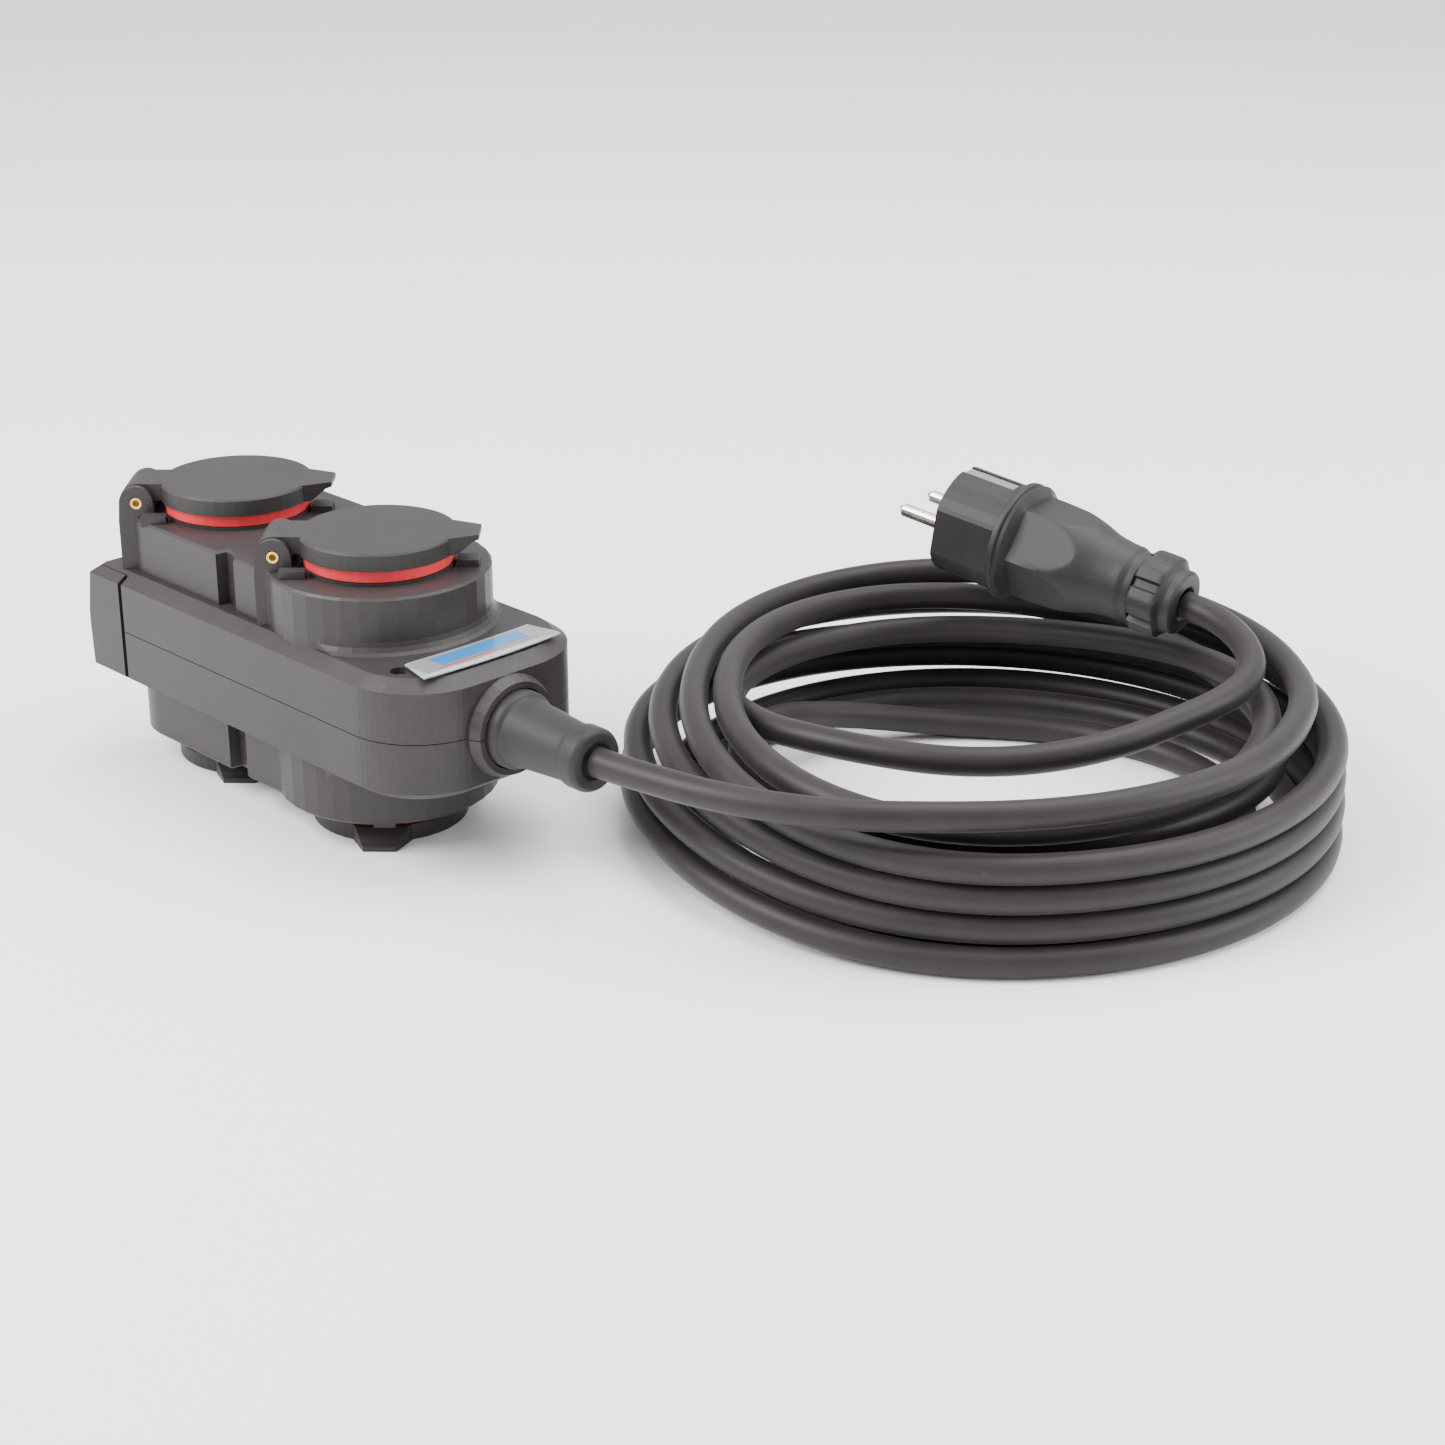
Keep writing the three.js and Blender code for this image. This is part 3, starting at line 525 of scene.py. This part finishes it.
def socket_frame(half, index):
    """Matrix from a socket's own drawing, in mm, to the row frame."""
    turn = Matrix.Rotation(SOCKET_TURN, 4, "Z")
    seat = Matrix.Translation((SOCKET_X[index] + DATUM_X, 0, 0)) @ turn
    if half == "lower":
        over = Matrix.Translation((0, 0, HEIGHT)) @ Matrix.Rotation(math.pi, 4, "X")
        seat = over @ seat
    return Matrix.Scale(MM, 4) @ seat


def plug_place(x, y, station):
    """A point of the plug's own drawing: x upwards, y level, station from the nut's end."""
    level = Vector((0, 0, 1)).cross(PLUG_AXIS).normalized()
    upward = level.cross(PLUG_AXIS)
    p = PLUG_NUT_END + upward * x + level * y + PLUG_AXIS * station
    return at(*p)


# ---- operators -------------------------------------------------------------------
class BuildHousing(bpy.types.Operator):
    """Finishes the two shells, the end cap and what is inside them"""
    bl_idname = "powerbox.housing"
    bl_label = "Housing"

    def execute(self, context):
        box = context.scene.power_box
        edge = box.edge / MM
        for node in ("upper_shell", "lower_shell", "end_cap"):
            dress(node, box_finish("housing"), edge, 30)
        dress("shell_gasket", box_finish("gasket"))
        for node in ("cord_clamp_bar", "cord_clamp_base"):
            dress(node, box_finish("insert"), 0.3)
        for node in ("live_rail", "neutral_rail", "earth_rail"):
            dress(node, box_finish("brass"), 0.15)
        for node in [n for n in NODES if "screw" in n]:
            dress(node, box_finish("steel"), 0.2)
        return {"FINISHED"}


class BuildSockets(bpy.types.Operator):
    """Finishes the socket inserts, their earth clips, the seals and the hinge pins"""
    bl_idname = "powerbox.sockets"
    bl_label = "Sockets"

    def execute(self, context):
        for half in HALVES:
            for end in ENDS:
                tail = f"{half}_{end}"
                dress(f"socket_insert_{tail}", box_finish("insert"), 0.25)
                dress(f"earth_clip_{tail}", box_finish("nickel"), 0.12)
                dress(f"lid_seal_{tail}", box_finish("seal"), 0.5)
                dress(f"hinge_pin_{tail}", box_finish("brass"), 0.2)
        return {"FINISHED"}


class BuildLids(bpy.types.Operator):
    """Finishes the four sprung lids"""
    bl_idname = "powerbox.lids"
    bl_label = "Lids"

    def execute(self, context):
        for half in HALVES:
            for end in ENDS:
                dress(f"lid_{half}_{end}", box_finish("lid"), 0.45, 30)
        return {"FINISHED"}


class BuildSprings(bpy.types.Operator):
    """Winds the closing spring of each lid round its hinge pin"""
    bl_idname = "powerbox.springs"
    bl_label = "Springs"

    TURNS, STEPS_PER_TURN = 5, 20
    WIRE, RADIUS, HALF_WIDTH = 0.42, 3.05, 2.5      # in mm
    LEG, LEG_LEAN = 2.4, 0.4                        # straight end of the wire, in mm

    def winding(self):
        """Points of one spring in its socket's own drawing, with a straight leg at each end."""
        steps = self.TURNS * self.STEPS_PER_TURN
        path = []
        for k in range(steps + 1):
            a = 2 * math.pi * self.TURNS * k / steps
            y = -self.HALF_WIDTH + 2 * self.HALF_WIDTH * k / steps
            path.append(Vector((-HINGE_REACH + self.RADIUS * math.cos(a), y,
                                HINGE_Z + self.RADIUS * math.sin(a))))
        path.insert(0, path[0] + Vector((0, 0, -self.LEG)))
        path.append(path[-1] + Vector((self.LEG_LEAN, 0, -self.LEG)))
        return path

    def execute(self, context):
        for half in HALVES:
            for index, end in enumerate(ENDS):
                seat = socket_frame(half, index)
                route = [seat @ point for point in self.winding()]
                spring = round_wire(f"spring_{half}_{end}", route, self.WIRE, 2, box_finish("steel"))
                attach(spring, HOUSING)
                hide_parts(f"lid_spring_{half}_{end}")
        return {"FINISHED"}


class BuildLabel(bpy.types.Operator):
    """Makes the rating plate: a printed foil under a clear domed face, with no lettering"""
    bl_idname = "powerbox.label"
    bl_label = "Rating plate"

    def execute(self, context):
        low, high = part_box("label_plate")
        middle = (low + high) / 2
        mat = Material("rating plate", Coat_Weight=0.6, Coat_Roughness=0.08, Specular_IOR_Level=0.5)
        across = (mat.axis(mat.place, "X") - middle.x) / (high.x - low.x)
        along = (mat.axis(mat.place, "Y") - middle.y) / (high.y - low.y)
        silver, clear_rim = shade((0.20, 0.20, 0.21)), shade((0.30, 0.32, 0.34))
        blue, red = shade((0.02, 0.17, 0.42)), shade((0.45, 0.03, 0.06))
        brushed = mat.noise(900, 2, 0.5, stretch=(6.0, 0.3, 1.0))
        tone = mat.mix(brushed * 0.5, silver, shade((0.30, 0.30, 0.31)))
        rim = mat.ramp(across.absolute(), 0.36, 0.40) + mat.ramp(along.absolute(), 0.455, 0.465)
        panel = (across < 0.20) * (across > -0.30) * (along.absolute() < 0.32)
        band = (across < 0.30) * (across > 0.24) * (along.absolute() < 0.36)
        tone = mat.mix(panel, tone, blue)
        tone = mat.mix(band, tone, red)
        tone = mat.mix(mat.ramp(rim, 0.2, 0.9), tone, clear_rim)
        roughness = brushed * 0.12 + 0.22
        mat.feed(Base_Color=tone, Roughness=roughness,
                 Normal=mat.bump(mat.noise(300, 2, 0.5), 0.02 * MM))
        dress("label_plate", mat.data, 0.35)
        return {"FINISHED"}


class BuildBoot(bpy.types.Operator):
    """Turns the tapered rubber boot that guards the lead where it leaves the housing"""
    bl_idname = "powerbox.boot"
    bl_label = "Kink boot"

    def execute(self, context):
        cord = context.scene.power_cord
        profile = soften([
            (0.01, 80.0), (14.8, 80.0), (14.8, 83.3), (12.9, 83.3), (12.9, 95.2), (12.4, 96.6),
            (11.5, 97.4), (11.1, 99), (9.5, 120.4), (9.6, 122.2), (10.4, 123.0), (10.4, 128.6),
            (9.4, 130.1), (6.2, 130.1), (5.4, 128.0), (0.01, 128.0)], 0.7)

        def place(x, y, station):
            return at(station, y, MID + x)

        mesh = mesh_of(lambda bm: spin(bm, profile, place, 72), "kink_boot_turned")
        finish = finish_of("boot", lambda: rubber("boot rubber", cord.boot, 0.50, 0.05))
        piece("kink_boot_turned", mesh, finish, ("kink_boot",), 35)
        return {"FINISHED"}


def from_nearest(angle, count):
    """Angle to the middle of the nearest of count equal sides."""
    turn = 2 * math.pi / count
    return (angle + turn / 2) % turn - turn / 2


class BuildPlug(bpy.types.Operator):
    """Makes the plug: head with its earth clips and pins, faceted grip and castellated nut"""
    bl_idname = "powerbox.plug"
    bl_label = "Plug"

    SIDES = 6
    HEAD_START = PLUG_LENGTH - PLUG_HEAD
    COLLAR_START = HEAD_START - PLUG_COLLAR
    # Flats of the grip: where they start, half their width at the collar and how fast it grows.
    FLAT_START, FLAT_REACH, FLAT_SPREAD = 24, 16.2, 0.013
    # Cord nut: the radius above which it is six-sided, and the notch in the middle of each flat.
    NUT_BODY, NUT_ROUNDING, NOTCH_DEPTH, NOTCH_HALF_ANGLE, NOTCH_START = 13.4, 0.9, 1.7, 0.11, 6

    def grip_relief(self, angle, radius, station):
        """Planes that cut the grip at the collar and run out to a point towards the nut."""
        if station > self.COLLAR_START - 0.5 or station < self.FLAT_START:
            return 0.0
        reach = self.FLAT_REACH + self.FLAT_SPREAD * (self.COLLAR_START - station)
        plane = reach / math.cos(from_nearest(angle, self.SIDES))
        return min(radius, plane) - radius

    def nut_relief(self, angle, radius, station):
        """Six rounded flats with a notch in the middle of each."""
        if radius < self.NUT_BODY:
            return 0.0
        near = from_nearest(angle, self.SIDES)
        hexagon = radius * math.cos(math.pi / self.SIDES) / math.cos(near) + self.NUT_ROUNDING
        notched = abs(near) < self.NOTCH_HALF_ANGLE and station > self.NOTCH_START
        return min(hexagon, radius) - radius - (self.NOTCH_DEPTH if notched else 0.0)

    def grip_profile(self):
        """The waisted grip with its double collar, as (radius, station) points."""
        collar, head = self.COLLAR_START, self.HEAD_START
        swell = (13.4, 14.2, 16.6, 18.3, 18.7, 18.9)
        body = [(eased(swell, k / 5), 22 + 1.6 * k) for k in range(1, 24)]
        return soften([
            (0.01, 16.3), (12.4, 16.3), (12.4, 19), (13.4, 21), *body,
            (19.3, collar - 1.6), (19.3, collar - 1.0), (21.5, collar - 1.0),
            (21.5, collar + 1.9), (20.5, collar + 2.3), (20.5, collar + 3.3),
            (21.5, collar + 3.7), (21.5, head - 0.1), (0.01, head - 0.1)], 0.5)

    def nut_profile(self):
        """The cord nut, bored for the cable."""
        return soften([
            (5.1, 1.2), (6.0, 0.0), (10.6, 0.0), (11.4, 0.8), (11.4, 3.6), (12.2, 4.6),
            (14.4, 5.6), (14.7, 7.0), (14.7, 14.6), (14.1, 15.9), (5.1, 15.9)], 0.5)

    def execute(self, context):
        cord = context.scene.power_cord
        finish = finish_of("plug", lambda: moulded("plug rubber", cord.plug, 0.48, 0.05, 0.03))
        grip = mesh_of(lambda bm: spin(bm, self.grip_profile(), plug_place, 96, self.grip_relief),
                       "plug_grip_faceted")
        nut = mesh_of(lambda bm: spin(bm, self.nut_profile(), plug_place, 120, self.nut_relief,
                                      bored=True), "plug_nut_castellated")
        piece("plug_grip_faceted", grip, finish, ("plug_grip",), 28)
        piece("plug_nut_castellated", nut, finish, ("plug_nut",), 32)
        dress("plug_head", finish, 0.5)
        for name in ("left", "right"):
            dress(f"plug_pin_{name}", box_finish("nickel"), 0.3)
            dress(f"plug_earth_strip_{name}", box_finish("nickel"), 0.15)
        return {"FINISHED"}


class BuildCord(bpy.types.Operator):
    """Lays the rubber cable from the boot, round its coil and up to the plug"""
    bl_idname = "powerbox.cord"
    bl_label = "Coiled lead"

    def execute(self, context):
        cord = context.scene.power_cord
        finish = finish_of("sheath", lambda: rubber("cable sheath", cord.sheath, 0.46, 0.06))
        last_angle = FRONT_ANGLE + 360 * (len(COIL_TURNS) - 1) + LAST_PART_TURN
        coil = coil_points(LEAD_JOINS_AT, last_angle, COIL_STEP)
        route = smooth_route([*LEAD_ROUTE, *coil, COIL_EXIT, *TAIL_ROUTE], cord.spacing / MM)
        length = sum((b - a).length for a, b in zip(route, route[1:]))
        lead = round_wire("coiled_lead", route, CORD_R, 5, finish)
        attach(lead, HOUSING)
        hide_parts("cord_lead", "cord_coil", "cord_tail")
        at(BOOT_EXIT, 0, MID)
        return {"FINISHED"}


class BuildStage(bpy.types.Operator):
    """Sets the floor, the soft light and the camera"""
    bl_idname = "powerbox.stage"
    bl_label = "Stage"

    FLOOR_HALF = 6.0                            # metres
    LIGHT_AIM = Vector((0.06, 0.04, 0.04))
    # Name, place and width in metres, and share of the key light's power.
    LIGHTS = (
        ("key", (-0.55, -1.15, 1.25), 1.1, 1.0),
        ("top", (0.25, 0.55, 1.6), 1.4, 0.6),
        ("rim", (1.3, 0.9, 0.7), 0.8, 0.28),
    )
    CAMERA_PLACE = (719.0, -524.7, 391.0)       # mm in the drawing
    CAMERA_DOWN, CAMERA_TURN = 22.6, 45.5       # degrees below level, and left of +Y

    def add(self, context, name, data):
        obj = bpy.data.objects.new(name, data)
        context.scene.collection.objects.link(obj)
        return obj

    def add_floor(self, context, colour):
        size = self.FLOOR_HALF
        floor = bpy.data.meshes.new("floor")
        floor.from_pydata([(-size, -size, 0), (size, -size, 0), (size, size, 0), (-size, size, 0)],
                          [], [(0, 1, 2, 3)])
        mat = Material("floor", Specular_IOR_Level=0.2, Roughness=0.85)
        tone = mat.mix(mat.noise(3, 2, 0.5) * 0.3, shade(colour), shade(colour, 0.98))
        floor.materials.append(mat.feed(Base_Color=tone))
        self.add(context, "floor", floor)

    def add_lights(self, context, stage):
        world = bpy.data.worlds.new("studio")
        context.scene.world = world
        world.use_nodes = True
        sky = world.node_tree.nodes["Background"].inputs
        sky["Color"].default_value = (1, 1, 1, 1)
        sky["Strength"].default_value = stage.fill
        for name, place, width, share in self.LIGHTS:
            light = bpy.data.lights.new(name, "AREA")
            light.energy = stage.key * share
            light.size = width
            lamp = self.add(context, name, light)
            lamp.location = place
            aim = self.LIGHT_AIM - Vector(place)
            lamp.rotation_euler = aim.to_track_quat("-Z", "Y").to_euler()

    def add_camera(self, context, lens):
        camera = bpy.data.cameras.new("camera")
        camera.sensor_width = 36.0
        camera.lens = lens
        camera.clip_start, camera.clip_end = 0.05, 20.0
        view = self.add(context, "camera", camera)
        view.location = at(*self.CAMERA_PLACE)
        view.rotation_euler = (math.radians(90 - self.CAMERA_DOWN), 0, math.radians(self.CAMERA_TURN))
        context.scene.camera = view

    def execute(self, context):
        stage = context.scene.power_stage
        self.add_floor(context, stage.floor)
        self.add_lights(context, stage)
        self.add_camera(context, stage.lens)
        return {"FINISHED"}


class PowerBoxPanel(bpy.types.Panel):
    """Lists the pieces of the power box and their settings"""
    bl_idname = "VIEW3D_PT_power_box"
    bl_label = "Power Box"
    bl_space_type = "VIEW_3D"
    bl_region_type = "UI"
    bl_category = "Power Box"

    def draw(self, context):
        scene = context.scene
        for group, operators in GROUPS:
            box = self.layout.box()
            settings = getattr(scene, group)
            for name in settings.__annotations__:
                box.prop(settings, name)
            for operator in operators:
                box.operator(operator.bl_idname)


GROUPS = (
    ("power_box", (BuildHousing, BuildSockets, BuildLids, BuildSprings, BuildLabel)),
    ("power_cord", (BuildBoot, BuildPlug, BuildCord)),
    ("power_stage", (BuildStage,)),
)
SETTINGS = {"power_box": BoxFinish, "power_cord": CordFinish, "power_stage": StageFinish}
CLASSES = (*SETTINGS.values(), *(o for _, group in GROUPS for o in group), PowerBoxPanel)


def register():
    for cls in CLASSES:
        bpy.utils.register_class(cls)
    for name, cls in SETTINGS.items():
        setattr(bpy.types.Scene, name, bpy.props.PointerProperty(type=cls))


def unregister():
    for name in SETTINGS:
        delattr(bpy.types.Scene, name)
    for cls in reversed(CLASSES):
        bpy.utils.unregister_class(cls)


def main():
    """Builds every piece in order."""
    register()
    for _, group in GROUPS:
        for operator in group:
            area, name = operator.bl_idname.split(".")
            getattr(getattr(bpy.ops, area), name)()


if __name__ == "__main__":
    main()
